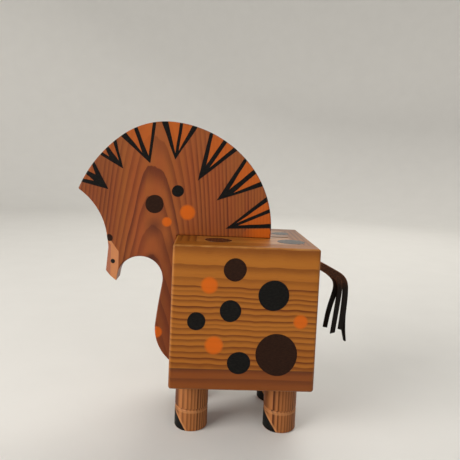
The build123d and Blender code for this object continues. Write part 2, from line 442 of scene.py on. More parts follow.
def count_rings(wood, level, lines):
    """Rings passed on the way up to a level, from a ramp with a stop at each dark line."""
    first, last = lines[0], lines[-1]
    share = wood.math("DIVIDE", wood.minus(level, BODY_FOOT / MM + first), last - first)
    ramp = wood.add("ValToRGB")
    count = len(lines) - 1
    for number, height in enumerate(lines[1:-1], start=1):
        stop = ramp.color_ramp.elements.new((height - first) / (last - first))
        stop.color = (number / count,) * 3 + (1,)
    wood.feed(ramp.inputs[0], share)
    return wood.times(ramp.outputs["Color"], float(count))


def side_wood(name):
    """The left side board: lines that run level, with a broad plain band at the top."""
    wood = Wood(name, "x", PINE, seed=3)
    x, y, z = wood.split(wood.place)
    fall = wood.times(wood.minus(x, BODY_X / MM), SIDE_FALL)
    depth = wood.minus(y, BODY_LOW.y / MM)
    curve = wood.times(wood.times(depth, depth), SIDE_CURVE)
    level = wood.plus(wood.plus(z, fall), wood.wander(1.5, 22))
    level = wood.plus(level, wood.plus(curve, wood.wander(0.35, 5)))
    ripples = wood.noise(wood.vector("MULTIPLY", wood.place, (1, 0.3, 0.3)), 1 / 13, detail=1.0)
    level = wood.math("MULTIPLY_ADD", ripples, SIDE_RIPPLE, level)
    level = wood.minus(level, SIDE_RIPPLE / 2)
    wood.finish_wood(wood.rings(count_rings(wood, level, side_lines()), rise=0.25), streak=0.34)
    return wood


def pith_wood(wood, pith, width, grain, lean=(0.0, 0.0), drift=1.2):
    """Rings round a pith line along one axis, which leans by so much per millimetre."""
    from_pith = wood.split(wood.vector("SUBTRACT", wood.place, pith / MM))
    axes = {"x": (1, 2, 0), "y": (0, 2, 1), "z": (0, 1, 2)}[grain]
    first, second, run = (from_pith[axis] for axis in axes)
    first = wood.plus(first, wood.times(run, lean[0]))
    second = wood.plus(second, wood.times(run, lean[1]))
    squares = wood.math("MULTIPLY_ADD", first, first, wood.times(second, second))
    radius = wood.plus(wood.math("SQRT", squares), wood.wander(drift, 16))
    radius = wood.plus(radius, wood.wander(0.25, 4))
    return wood.math("DIVIDE", radius, width)


BOARD_RING = 3.2


def board_wood(name, grain, pith, seed, colours=PINE, gloss=0.10):
    """A board of the body, with its pith line through a given point."""
    wood = Wood(name, grain, colours, seed)
    late = wood.rings(pith_wood(wood, pith, BOARD_RING, grain), rise=0.25)
    wood.finish_wood(late, streak=0.36, coat=gloss, specular=0.14 + gloss / 2)
    return wood


# Pith of the head plate, as spot() takes it
HEAD_CENTRE, HEAD_LEVEL, HEAD_PITH_BEHIND = -67.0, 144.0, 0.031
HEAD_LEAN = -0.095
HEAD_RING = 2.15
# Where the pale crest starts and is full, and where the painted shade on the neck and chest and the darker
# face fade out
CREST_HEIGHTS, CREST_CENTRE, CREST_REACH = (118, 150), (-56, 112), (40.0, 78.0)
CHEST_SHADE_HEIGHTS = (62, 96)
FACE_PLACES = (-106, -84)
# Each dark patch's place, radius, softness and darkness: a knot at the throat, a dark patch at the top of
# the throat's arch, and painted shade on the neck beside the body's front corner
KNOTS_AND_SHADE = ((-68.6, 80.5, 4.2, 3.0, 0.7), (-66.5, 106.5, 4.5, 6.0, 0.62), (-53.5, 90.0, 5.0, 10.0, 0.45))


def head_wood(name):
    """The head plate: upright cathedral grain whose arches close above the brown dot, with painted shade
    low on the neck and chest.
    """
    wood = Wood(name, "z", HEAD, seed=7)
    pith = spot(HEAD_CENTRE, HEAD_LEVEL, HEAD_PITH_BEHIND)
    count = pith_wood(wood, pith, HEAD_RING, "z", lean=(0.0, HEAD_LEAN), drift=1.1)
    late = wood.rings(count, rise=0.2, contrast=0.9)
    wood.finish_wood(late, streak=0.42, mottle=0.22)
    outer = wood.vector("LENGTH", wood.vector("SUBTRACT", wood.place, spot(*CREST_CENTRE) / MM))
    x, _, z = wood.split(wood.place)
    crest = wood.step(z, *map(at_height, CREST_HEIGHTS))
    crest = wood.times(crest, wood.step(outer, *CREST_REACH, 0.0, 0.62))
    wood.tint(crest, HEAD_PALE)
    # Painted shade: the neck and chest darken downwards where they hang in front of the body. The face
    # darkens towards the front.
    chest_shade = wood.step(z, *map(at_height, CHEST_SHADE_HEIGHTS), 0.42, 0.0)
    face = wood.step(x, *map(at_back, FACE_PLACES), 0.30, 0.0)
    wood.tint(wood.math("MAXIMUM", chest_shade, face), wood.dark)
    # Dark patches: knots, and last of them painted shade on the neck
    for back, up, size, soft, strength in KNOTS_AND_SHADE:
        dark = wood.times(wood.ball(spot(back, up, PLATE_LOW.y), size, soft), strength)
        wood.tint(dark, KNOT_AND_SHADE_DARK)
    return wood


# Where the muzzle's cuts end to the back and upwards, and how far below the face each flat starts
MUZZLE_BACK, MUZZLE_TOP = (-92.6, -91.4), (97, 101)
BROAD_DEPTH, NARROW_DEPTH = (0.05, 0.25), (2.15, 2.4)


def cut_muzzle(wood):
    """Paler colour on the two flats of the muzzle, palest on the broad one."""
    x, y, z = wood.split(wood.place)
    depth = wood.minus(PLATE_HIGH.y / MM, wood.math("ABSOLUTE", y))
    nose = wood.step(x, *map(at_back, MUZZLE_BACK), 1.0, 0.0)
    below = wood.step(z, *map(at_height, MUZZLE_TOP), 1.0, 0.0)
    nose = wood.times(nose, below)
    broad = wood.times(nose, wood.step(depth, *BROAD_DEPTH, 0.0, 0.78))
    narrow = wood.times(nose, wood.step(depth, *NARROW_DEPTH, 0.0, 0.9))
    wood.tint(broad, CUT_TAN)
    wood.tint(narrow, CUT_PINK)


# Heights above the floor in millimetres, and how fast the hoof's edge drops towards the back
LIP_HEIGHT = 14.4
HOOF_TOP, HOOF_SLOPE = 13.0, 1.5
# A dowel's pith, in metres from its axis
LEG_PITH_X, LEG_PITH_Y = 0.034, 0.012
LEG_RING = 2.1


def leg_wood(node, seed):
    """A dowel with straight upright stripes, pale at the ring groove's lip and above the hoof's paint."""
    low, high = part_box(node)
    centre = (low + high) / 2
    wood = Wood(node, "z", DOWEL, seed)
    pith = Vector((centre.x + LEG_PITH_X, centre.y + LEG_PITH_Y, 0))
    late = wood.rings(pith_wood(wood, pith, LEG_RING, "z", drift=0.4), rise=0.3, contrast=1.25)
    wood.finish_wood(late, streak=0.4, roughness=0.5, coat=0.05, specular=0.12)
    x, _, z = wood.split(wood.place)
    # Pale bands at the ring groove's lip and just above the hoof's paint
    lip = wood.math("ABSOLUTE", wood.minus(z, LIP_HEIGHT))
    lip = wood.step(lip, 0.5, 1.3, 0.45, 0.0)
    behind = wood.times(wood.minus(x, low.x / MM), HOOF_SLOPE)
    above_paint = wood.plus(wood.minus(z, HOOF_TOP), behind)
    pale_band = wood.step(above_paint, 1.4, 3.0, 0.5, 0.0)
    pale_band = wood.times(pale_band, wood.step(z, 12.0, 14.0, 1.0, 0.0))
    wood.tint(wood.math("MAXIMUM", lip, pale_band), PALE_LIP)
    return wood


def paint(name, colour, worn, roughness, specular, coat=0.0):
    """Brushed enamel."""
    nodes = Nodes(name)
    brushed = nodes.noise(nodes.vector("MULTIPLY", nodes.place, (0.4, 1, 1)), 1.3, detail=3.0)
    nodes.colour(nodes.mix(nodes.step(brushed, 0.35, 0.75), colour, worn))
    gloss = nodes.math("MULTIPLY_ADD", brushed, 0.2, roughness - 0.1)
    nodes.set(gloss, specular=specular, coat=coat, coat_roughness=0.2)
    nodes.bump(brushed, 0.02, 0.5)
    return nodes.material


# Metres from the tail hole's mouth: where rubbing and painted highlight fade out, and the raw fleck
RUB_AND_LIT_BACK, RUB_AND_LIT_UP = (0.010, 0.033), (-0.024, -0.012)
FLECK = Vector((0.0262, 0, -0.0062))
FLECK_RADIUS, FLECK_SOFT = 1.9, 0.5


def leather():
    """Dyed laces, browner where they are rubbed, with a painted highlight on their edges and upper side
    near the root.
    """
    nodes = Nodes("tail_leather")
    x, _, z = nodes.split(nodes.place)
    creases = nodes.noise(nodes.place, 0.9, detail=4.0, roughness=0.7)
    grain = nodes.noise(nodes.place, 4.0, detail=2.0)
    near_root = nodes.step(x, *((TAIL_MOUTH.x + back) / MM for back in RUB_AND_LIT_BACK), 1.0, 0.0)
    above = nodes.step(z, *((TAIL_MOUTH.z + up) / MM for up in RUB_AND_LIT_UP))
    # Rubbed leather with painted highlight: brown near the root, on the upper side and along the edges
    rubbed_and_lit = nodes.math("MAXIMUM", near_root, nodes.times(above, 0.6))
    rubbed_and_lit = nodes.times(rubbed_and_lit, above)
    edge = nodes.add("Attribute", attribute_name="edge").outputs["Fac"]
    patchy = nodes.math("MULTIPLY_ADD", edge, 0.85, nodes.step(creases, 0.35, 0.65, 0.08, 0.6))
    rubbed_and_lit = nodes.math("MULTIPLY", rubbed_and_lit, patchy, clamp=True)
    look = nodes.mix(creases, LEATHER_DARK, LEATHER_LIGHT)
    look = nodes.mix(rubbed_and_lit, look, LEATHER_RUBBED_AND_LIT)
    raw = nodes.ball(TAIL_MOUTH + FLECK, FLECK_RADIUS, FLECK_SOFT)
    nodes.colour(nodes.mix(raw, look, LEATHER_RAW))
    nodes.set(nodes.step(creases, 0.2, 0.8, 0.5, 0.72), specular=0.12)
    nodes.bump(nodes.math("MULTIPLY_ADD", grain, 0.4, creases), 0.08, 0.7)
    return nodes.material


# --- painted marks ---

FILM = 0.08 * MM
UNDER = 0.12 * MM
RAY_START = 0.03
REACH_STEPS = 16


def tree_of(node):
    """A CAD node's surface, ready for rays."""
    mesh = NODES[node].data
    points = [vertex.co for vertex in mesh.vertices]
    return BVHTree.FromPolygons(points, [tuple(face.vertices) for face in mesh.polygons])


class Surface:
    """A side of some CAD nodes that paint can be laid on, seen along one direction."""

    def __init__(self, nodes, across, up, outward):
        self.trees = [tree_of(node) for node in nodes]
        self.across, self.up, self.outward = Vector(across), Vector(up), Vector(outward)
        self.start = max(abs(value) for value in (*cad_low, *cad_high)) + RAY_START

    def hit(self, a, b):
        """The surface's point and normal under a place on the drawing, or None past its edge."""
        origin = self.across * a + self.up * b
        origin += self.outward * (self.start - origin.dot(self.outward))
        best = None
        for tree in self.trees:
            place, normal, _, far = tree.ray_cast(origin, -self.outward)
            if place is not None and (best is None or far < best[2]):
                best = (place, normal, far)
        return best

    def reach(self, a, b, direction, most):
        """How far a line on the drawing runs from a place before it leaves the surface."""
        if self.hit(a + direction[0] * most, b + direction[1] * most):
            return most
        low, high = 0.0, most
        for _ in range(REACH_STEPS):
            middle = (low + high) / 2
            if self.hit(a + direction[0] * middle, b + direction[1] * middle):
                low = middle
            else:
                high = middle
        return low


def make_piece(name, points, faces, material, slot, attribute=None):
    """A mesh that rides on the horse, with a named value for each point if given."""
    mesh = bpy.data.meshes.new(name)
    mesh.from_pydata(points, [], faces)
    mesh.materials.append(material)
    if attribute:
        layer = mesh.attributes.new(attribute[0], "FLOAT", "POINT")
        layer.data.foreach_set("value", attribute[1])
    mesh.shade_smooth()
    piece = add_object(name, mesh)
    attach(piece, BODY)
    return piece


class Film:
    """Flat patches of paint that share one piece."""

    def __init__(self, name, surface, material, slot, thickness=FILM):
        self.name, self.surface, self.material, self.slot = name, surface, material, slot
        self.thickness = thickness
        self.points, self.faces, self.cover = [], [], []

    def lay(self, outline, inner, cover):
        """Adds one patch. cover(a, b) gives the paint's strength at a place on the drawing."""
        flat = [Vector(point) for point in (*outline, *inner)]
        rim = [(number, (number + 1) % len(outline)) for number in range(len(outline))]
        flat, _, faces = delaunay_2d_cdt(flat, rim, [], 1, 1e-7)[:3]
        hits = [self.surface.hit(*point) for point in flat]
        keep = [number for number, found in enumerate(hits) if found]
        place = {number: index for index, number in enumerate(keep)}
        faces = [face for face in faces if all(number in place for number in face)]
        first, count = len(self.points), len(keep)
        outward = self.surface.outward
        for side in (1, -1):
            for number in keep:
                point, normal, _ = hits[number]
                lift = self.thickness * max(0.0, normal.dot(outward)) if side == 1 else -UNDER
                self.points.append(point + normal * lift)
                self.cover.append(cover(*flat[number]))
        borders = []
        for face in faces:
            a, b, c = (flat[number] for number in face)
            anticlockwise = face if (b - a).cross(c - a) > 0 else reversed(face)
            top = [first + place[number] for number in anticlockwise]
            self.faces.append(top)
            self.faces.append([number + count for number in reversed(top)])
            borders += zip(top, top[1:] + top[:1])
        shared = set(borders)
        for start, end in borders:
            if (end, start) not in shared:
                self.faces.append([end, start, start + count, end + count])

    def finish(self):
        points = [tuple(point) for point in self.points]
        piece = make_piece(self.name, points, self.faces, self.material, self.slot, ("paint", self.cover))
        piece.data.shade_flat()


DOT_STEPS = 72
DOT_RINGS = (0.35, 0.7, 0.9)


def lay_dot(film, centre, radius, rng, soft=0.0, uneven=0.025):
    """A hand-painted dot, cut off where the surface ends. Sizes are in millimetres."""
    waves = [(n, uneven * rng.uniform(0.3, 1.0) / (n - 1), rng.uniform(0, tau)) for n in (2, 3, 4)]
    outline, inner = [], []
    a, b = centre
    for number in range(DOT_STEPS):
        angle = tau * number / DOT_STEPS
        wobble = 1 + sum(size * cos(n * angle + start) for n, size, start in waves)
        direction = (cos(angle), sin(angle))
        length = film.surface.reach(a, b, direction, radius * wobble * MM)
        outline.append((a + direction[0] * length, b + direction[1] * length))
        for share in DOT_RINGS:
            if number % (4 if share < 0.5 else 2) == 0:
                inner.append((a + direction[0] * length * share, b + direction[1] * length * share))
    inner.append((a, b))

    def cover(x, z):
        share = hypot(x - a, z - b) / (radius * MM)
        fade = min(1.0, max(0.0, (1 - share) / soft)) if soft else 1.0
        return fade * fade * (3 - 2 * fade)

    film.lay(outline, inner, cover)


# Fans of the mane: apex, then where each stroke ends at the rim and its width there, the two places
# where the strokes part, and how strong the orange under them is
MANE_FANS = (
    ((-101.3, 132.2), ((-121.0, 138.2, 2.6), (-117.7, 144.2, 2.7), (-113.1, 151.1, 2.6)),
     ((-112.0, 138.0), (-111.0, 142.6)), 0.18),
    ((-91.0, 147.8), ((-108.0, 158.7, 2.4), (-103.7, 163.1, 2.8), (-98.2, 168.6, 3.0)),
     ((-101.4, 156.2), (-94.2, 153.4)), 0.24),
    ((-71.4, 152.6), ((-91.6, 172.9, 4.6), (-82.7, 177.8, 2.8), (-69.0, 182.2, 2.6)),
     ((-77.4, 160.0), (-72.8, 158.0)), 0.38),
    ((-53.2, 156.0), ((-61.7, 183.4, 4.8), (-49.4, 182.9, 2.4), (-39.4, 180.8, 4.0)),
     ((-53.3, 160.8), (-50.9, 162.4)), 0.46),
    ((-36.0, 141.2), ((-27.3, 176.4, 2.7), (-16.9, 171.0, 3.1), (-9.3, 165.4, 3.3)),
     ((-30.2, 153.0), (-27.6, 151.2)), 0.52),
    ((-21.6, 127.0), ((-1.2, 158.4, 2.7), (5.6, 149.5, 3.3), (11.2, 140.6, 3.8)),
     ((-12.4, 135.6), (-9.2, 133.2)), 0.58),
    ((-14.0, 106.2), ((15.7, 129.6, 3.5), (18.5, 121.0, 2.9), (20.3, 109.6, 3.3)),
     ((-6.0, 110.6), (-4.6, 109.0)), 0.66),
)
MANE_MIDDLE = (-54.0, 112.0)
STROKE_SPACING = 1.1
RIM_SPACING = 0.5
RIM_SEARCH, RIM_INSET = 6, 0.03
FILL_SPACING = 1.6
BAND_DEPTHS = (0.12, 0.3, 0.6, 1.0, 1.5)
STROKE_SWAY = 0.15


def run(start, end, spacing, sway=0.0, phase=0.0):
    """Points from start towards end, with a slight bow and waver as a brush leaves them."""
    length = hypot(end[0] - start[0], end[1] - start[1])
    steps = max(1, round(length / spacing))
    side = (-(end[1] - start[1]) / length, (end[0] - start[0]) / length)
    points = []
    for number in range(steps):
        share = number / steps
        off = sway * sin(pi * share) * sin(phase + 7.0 * share)
        points.append((start[0] + (end[0] - start[0]) * share + side[0] * off,
                       start[1] + (end[1] - start[1]) * share + side[1] * off))
    return points


def on_rim(surface, sign, point):
    """The place at the plate's edge, straight out from the middle of the mane through a point."""
    middle = MANE_MIDDLE
    length = hypot(point[0] - middle[0], point[1] - middle[1])
    direction = ((point[0] - middle[0]) / length * sign, (point[1] - middle[1]) / length)
    start = draw(sign, *middle)
    far = surface.reach(*start, direction, (length + RIM_SEARCH) * MM) - RIM_INSET * MM
    return (middle[0] + sign * direction[0] * far / MM, middle[1] + direction[1] * far / MM)


def draw(sign, back, up):
    """A mark's place on a drawing of the plate or the body's side, in metres."""
    return (sign * (BODY_X + back * MM), BODY_FOOT + up * MM)


def draw_rear(side, up):
    return (side * MM, BODY_FOOT + up * MM)


def draw_top(back, side):
    return (BODY_X + back * MM, side * MM)


def rim_run(surface, sign, start, end):
    """Points along the plate's edge from start to end."""
    return [on_rim(surface, sign, point) for point in run(start, end, RIM_SPACING)]


def fill(outline, spacing):
    """Places spread evenly inside an outline."""
    xs, ys = [p[0] for p in outline], [p[1] for p in outline]
    found = []
    y = min(ys) + spacing / 3
    while y < max(ys):
        crossings = []
        for (x1, y1), (x2, y2) in zip(outline, outline[1:] + outline[:1]):
            if (y1 <= y) != (y2 <= y):
                crossings.append(x1 + (y - y1) * (x2 - x1) / (y2 - y1))
        crossings.sort()
        for left, right in zip(crossings[::2], crossings[1::2]):
            count = int((right - left) / spacing)
            found += [(left + (right - left) * (n + 1) / (count + 1), y) for n in range(count)]
        y += spacing
    return found


def rim_bands(surface, sign, outline, depths):
    """Places just inside the plate's rounded edge, so that paint follows it."""
    found = []
    for point in outline:
        edge = on_rim(surface, sign, point)
        if hypot(edge[0] - point[0], edge[1] - point[1]) > 0.05:
            continue
        length = hypot(edge[0] - MANE_MIDDLE[0], edge[1] - MANE_MIDDLE[1])
        for depth in depths:
            share = 1 - depth / length
            found.append((MANE_MIDDLE[0] + (edge[0] - MANE_MIDDLE[0]) * share,
                          MANE_MIDDLE[1] + (edge[1] - MANE_MIDDLE[1]) * share))
    return found


def inside(outline, point):
    """Whether a place lies inside an outline."""
    crossings = 0
    for (x1, y1), (x2, y2) in zip(outline, outline[1:] + outline[:1]):
        if (y1 <= point[1]) != (y2 <= point[1]):
            crossings += x1 + (point[1] - y1) * (x2 - x1) / (y2 - y1) > point[0]
    return crossings % 2 == 1


def lay_patch(film, sign, outline, cover):
    """Lays a patch of paint given its outline in millimetres on the plate."""
    inner = [p for p in fill(outline, FILL_SPACING) if inside(outline, p)]
    bands = rim_bands(film.surface, sign, outline, BAND_DEPTHS)
    inner += [p for p in bands if inside(outline, p)]
    film.lay([draw(sign, *p) for p in outline], [draw(sign, *p) for p in inner], cover)


def fan_corners(surface, sign, strokes):
    """The two ends of each stroke's edge along the rim."""
    corners = []
    for back, up, width in strokes:
        out = (back - MANE_MIDDLE[0], up - MANE_MIDDLE[1])
        length = hypot(*out)
        along = (out[1] / length, -out[0] / length)
        pair = [(back + along[0] * width / 2 * end, up + along[1] * width / 2 * end) for end in (-1, 1)]
        corners.append([on_rim(surface, sign, point) for point in pair])
    return corners


def fan_outline(surface, sign, apex, corners, notches, rng):
    """Out from the apex to the rim and back between the strokes, as a hand would paint it."""
    sway = [rng.uniform(-STROKE_SWAY, STROKE_SWAY) for _ in range(6)]
    phase = rng.uniform(0, tau)
    turns = (apex, *notches, apex)
    outline = []
    for number, (near, far) in enumerate(corners):
        outline += run(turns[number], near, STROKE_SPACING, sway[2 * number], phase)
        outline += rim_run(surface, sign, near, far)
        outline += run(far, turns[number + 1], STROKE_SPACING, sway[2 * number + 1], phase)
    return outline


# The mane's orange foot: its corners, where it follows the rim, and where it fades in
FOOT_TOP, FOOT_FRONT, FOOT_BACK = (2.0, 106.6), (-3.0, 100.4), (19.0, 100.5)
FOOT_RIM, FOOT_HEIGHTS = 20.4, (107.6, 105.6, 103.6, 101.6, 100.6)
FOOT_FADE, FOOT_STRENGTH = (-3, 10), 0.85


def paint_mane_foot(film, surface, sign):
    """Orange below the last fan, fading out towards the front."""
    edge = [on_rim(surface, sign, (FOOT_RIM, up)) for up in FOOT_HEIGHTS]
    outline = run(FOOT_TOP, edge[0], STROKE_SPACING)[:-1] + edge
    outline += run(FOOT_BACK, FOOT_FRONT, STROKE_SPACING)
    outline += run(FOOT_FRONT, FOOT_TOP, STROKE_SPACING)
    low, high = (draw(1, back, 0)[0] for back in FOOT_FADE)

    def cover(x, z):
        return FOOT_STRENGTH * min(1, max(0, (sign * x - low) / (high - low)))

    lay_patch(film, sign, outline, cover)


def paint_mane(side, sign, surface, orange, black, rng):
    """The fans of black strokes round the rim, over wedges of orange."""
    wedges = Film(f"{side}_mane_orange", surface, orange, "orange_paint", thickness=0.05 * MM)
    strokes = Film(f"{side}_mane_strokes", surface, black, "black_paint", thickness=0.10 * MM)
    for apex, ends, notches, strength in MANE_FANS:
        corners = fan_corners(surface, sign, ends)
        outline = fan_outline(surface, sign, apex, corners, notches, rng)
        lay_patch(strokes, sign, outline, lambda x, z: 1.0)
        start, end = corners[0][0], corners[-1][1]
        wedge = run(apex, start, STROKE_SPACING) + rim_run(surface, sign, start, end)
        wedge += run(end, apex, STROKE_SPACING)
        lay_patch(wedges, sign, wedge, lambda x, z, s=strength: s)
    paint_mane_foot(wedges, surface, sign)
    wedges.finish()
    strokes.finish()


# Dots, each with its place and radius in millimetres
HEAD_DOTS = {
    "brown": ((-67.3, 122.6, 6.8),),
    "black": ((-50.4, 132.9, 4.4), (-97.1, 78.4, 1.7)),
    "orange": ((-42.7, 117.3, 6.3), (-57.8, 109.6, 4.0), (-63.0, 25.6, 4.9)),
    "eye": ((-100.0, 96.2, 2.7),),
}
LEFT_DOTS = {
    "brown": ((-7.7, 84.1, 7.8), (23.0, 26.3, 14.5)),
    "black": ((19.2, 67.3, 10.5), (-9.7, 55.8, 7.4), (-32.5, 48.1, 6.2), (-2.6, 19.9, 7.9)),
    "orange": ((-24.6, 73.0, 6.3), (38.3, 49.7, 5.4), (-20.0, 31.8, 6.9)),
}
TOP_DOTS = {"brown": ((-19.3, -25.0, 9.5), (33.7, -22.0, 10.0), (31.5, 20.0, 7.0))}
# The far side and the rump weren't seen, so these dots only follow the left side's manner
RIGHT_DOTS = {
    "brown": ((-26.0, 70.0, 12.5), (28.0, 79.0, 7.0)),
    "black": ((6.0, 61.0, 8.4), (-30.0, 36.0, 6.6), (31.0, 47.0, 7.6), (12.0, 24.0, 9.6)),
    "orange": ((-1.0, 84.0, 5.8), (-10.0, 40.0, 6.2), (38.0, 22.0, 5.4)),
}
REAR_DOTS = {
    "brown": ((-24.0, 28.0, 9.0),),
    "black": ((26.0, 62.0, 7.2), (-27.0, 68.0, 5.8)),
    "orange": ((20.0, 26.0, 5.8),),
}


PAINT_SLOTS = {
    "brown": "brown_paint", "black": "black_paint", "orange": "orange_paint", "eye": "brown_paint",
}
ORANGE_SOFT = 0.22


def paint_dots(name, surface, dots, place, paints, rng):
    """All the dots of one side, one piece to a colour. Only orange has a soft edge."""
    for colour, marks in dots.items():
        film = Film(f"{name}_{colour}_dots", surface, paints[colour], PAINT_SLOTS[colour])
        soft = ORANGE_SOFT if colour == "orange" else 0.0
        for a, b, radius in marks:
            lay_dot(film, place(a, b), radius, rng, soft=soft)
        film.finish()


HOOF_TURNS, HOOF_RINGS = 48, 14
# Least height of the paint, waver of its upper edge and its lowest row, in millimetres
HOOF_LEAST, HOOF_WAVER, HOOF_FOOT = 0.6, 0.25, 0.02


def hoof_grid(node, rng):
    """The leg's surface and its normals under the hoof's paint, in upright columns."""
    low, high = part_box(node)
    centre = (low + high) / 2
    radius = (high.x - low.x) / 2
    tree = tree_of(node)
    half = acos(1 - (HOOF_TOP - HOOF_LEAST) / HOOF_SLOPE / (radius / MM))
    grid, phase = [], rng.uniform(0, tau)
    for turn in range(HOOF_TURNS + 1):
        angle = half * (2 * turn / HOOF_TURNS - 1)
        outward = Vector((-cos(angle), sin(angle), 0))
        top = HOOF_TOP - HOOF_SLOPE * radius / MM * (1 - cos(angle))
        top += HOOF_WAVER * sin(5 * angle + phase) * cos(pi / 2 * angle / half)
        for ring in range(HOOF_RINGS + 1):
            height = max(HOOF_LEAST, top) * MM * ring / HOOF_RINGS
            start = Vector((centre.x, centre.y, 0)) + outward * 2 * radius
            start.z = max(height, HOOF_FOOT * MM)
            grid.append(tree.ray_cast(start, -outward)[:2])
    return grid


def lift(normal):
    """How far hoof paint stands off the leg: nothing where the leg faces the floor."""
    return FILM * (normal.z > -0.99) * hypot(normal.x, normal.y)


def paint_hoof(node, material, rng):
    """Black enamel on the lower front of a leg, with a slanting upper edge."""
    grid = hoof_grid(node, rng)
    lifted = [place + normal * lift(normal) for place, normal in grid]
    sunk = [place - normal * UNDER for place, normal in grid]
    faces = []
    count, row = len(lifted), HOOF_RINGS + 1
    for turn in range(HOOF_TURNS):
        for ring in range(HOOF_RINGS):
            first = turn * row + ring
            face = [first, first + 1, first + row + 1, first + row]
            faces += [face, [number + count for number in reversed(face)]]
    outline = [turn * row for turn in range(HOOF_TURNS + 1)]
    outline += [HOOF_TURNS * row + ring for ring in range(1, row)]
    outline += [turn * row + HOOF_RINGS for turn in range(HOOF_TURNS - 1, -1, -1)]
    outline += [ring for ring in range(HOOF_RINGS - 1, 0, -1)]
    for start, end in zip(outline, outline[1:] + outline[:1]):
        faces.append([start, end, end + count, start + count])
    name = node.replace("_leg", "_hoof_paint")
    make_piece(name, [tuple(p) for p in lifted + sunk], faces, material, "black_paint")


# --- tail ---

# Each thong's route from the mouth of the tail hole, in metres (back, to the right, up)
THONG_ROUTES = {
    "tail_thong_1": (
        (-0.0040, 0.0016, -0.0016), (0.0040, 0.0016, -0.0016), (0.0118, 0.0016, -0.0054),
        (0.0192, 0.0016, -0.0098), (0.0236, 0.0017, -0.0144), (0.0247, 0.0019, -0.0200),
        (0.0236, 0.0022, -0.0265), (0.0216, 0.0026, -0.0352), (0.0202, 0.0031, -0.0445),
        (0.0194, 0.0035, -0.0532),
    ),
    "tail_thong_2": (
        (-0.0040, -0.0016, -0.0016), (0.0040, -0.0016, -0.0016), (0.0120, -0.0016, -0.0052),
        (0.0196, -0.0016, -0.0091), (0.0246, -0.0017, -0.0124), (0.0266, -0.0018, -0.0175),
        (0.0263, -0.0020, -0.0245), (0.0254, -0.0023, -0.0345), (0.0243, -0.0027, -0.0450),
        (0.0231, -0.0032, -0.0552),
    ),
    "tail_thong_3": (
        (-0.0040, -0.0016, 0.0016), (0.0040, -0.0016, 0.0016), (0.0125, -0.0016, -0.0017),
        (0.0212, -0.0016, -0.0061), (0.0286, -0.0016, -0.0100), (0.0320, -0.0017, -0.0150),
        (0.0323, -0.0018, -0.0235), (0.0316, -0.0020, -0.0335), (0.0307, -0.0022, -0.0435),
        (0.0297, -0.0025, -0.0525),
    ),
    "tail_thong_4": (
        (-0.0040, 0.0016, 0.0016), (0.0040, 0.0016, 0.0016), (0.0126, 0.0016, -0.0020),
        (0.0214, 0.0016, -0.0064), (0.0294, 0.0017, -0.0106), (0.0330, 0.0018, -0.0158),
        (0.0336, 0.0019, -0.0240), (0.0332, 0.0020, -0.0340), (0.0326, 0.0022, -0.0425),
        (0.0329, 0.0024, -0.0510), (0.0337, 0.0026, -0.0575), (0.0348, 0.0028, -0.0632),
    ),
}
# Each thong's length, its turn by its end in degrees, how far it bulges off its route at the bend and
# at its end, outwards where positive, and the slant of its cut
THONG_SHAPES = {
    "tail_thong_1": (0.0707, 40.0, (0.0010, -0.0008), 0.0003),
    "tail_thong_2": (0.0743, 8.0, (0.0009, 0.0), 0.0009),
    "tail_thong_3": (0.0786, -6.0, (-0.0010, -0.0007), -0.0003),
    "tail_thong_4": (0.0898, 80.0, (-0.0009, 0.0), 0.0002),
}
THONG_WIDTH, THONG_ROOT_WIDTH, THONG_END_WIDTH = 0.0043, 0.0030, 0.0038
THONG_THICK = 0.0012
# Shares of a thong's length
WIDEN_FROM, WIDEN_OVER, NARROW_FROM, TURN_FROM = 0.07, 0.2, 0.5, 0.6
THONG_SIDES = 20
ROUTE_RESOLUTION = 10


def route_line(name, route):
    """The smooth line that a thong follows, read from a NURBS spline through the route's control points."""
    curve = bpy.data.curves.new(name + "_route", "CURVE")
    curve.dimensions = "3D"
    spline = curve.splines.new("NURBS")
    spline.points.add(len(route) - 1)
    for control, step in zip(spline.points, route):
        control.co = (*(TAIL_MOUTH + Vector(step)), 1)
    spline.order_u = 3
    spline.use_endpoint_u = True
    spline.resolution_u = ROUTE_RESOLUTION
    holder = bpy.data.objects.new(name + "_route", curve)
    mesh = bpy.data.meshes.new_from_object(holder)
    line = [vertex.co.copy() for vertex in mesh.vertices]
    bpy.data.objects.remove(holder)
    bpy.data.curves.remove(curve)
    bpy.data.meshes.remove(mesh)
    return line


def lace_ring(line, number, turn_by_end, bulges, slant):
    """One cross-section of a lace: its points, and how near each one is to an edge."""
    last = len(line) - 1
    share = number / last
    ahead = (line[min(number + 1, last)] - line[max(number - 1, 0)]).normalized()
    broad = Vector((0, 1, 0)).cross(ahead).normalized()
    turn = radians(turn_by_end) * max(0.0, (share - TURN_FROM) / (1 - TURN_FROM)) ** 1.3
    broad = Matrix.Rotation(turn, 3, ahead) @ broad
    thin = ahead.cross(broad)
    fuller = min(1.0, max(0.0, (share - WIDEN_FROM) / WIDEN_OVER))
    width = THONG_ROOT_WIDTH + (THONG_WIDTH - THONG_ROOT_WIDTH) * fuller
    narrower = max(0.0, (share - NARROW_FROM) / (1 - NARROW_FROM))
    width -= (THONG_WIDTH - THONG_END_WIDTH) * narrower
    at_bend, at_end = bulges
    bulge = -fuller * (at_bend + (at_end - at_bend) * share**2)
    points, edges = [], []
    for side in range(THONG_SIDES):
        angle = tau * side / THONG_SIDES
        c, s = cos(angle), sin(angle)
        across = abs(c) ** 0.45 * (1 if c > 0 else -1) * width / 2
        out = abs(s) ** 0.6 * (1 if s > 0 else -1) * THONG_THICK / 2
        cut = ahead * (slant * across / (width / 2)) if number == last else Vector()
        points.append(line[number] + broad * (across + bulge) + thin * out + cut)
        edges.append(min(1.0, abs(c) ** 3))
    return points, edges


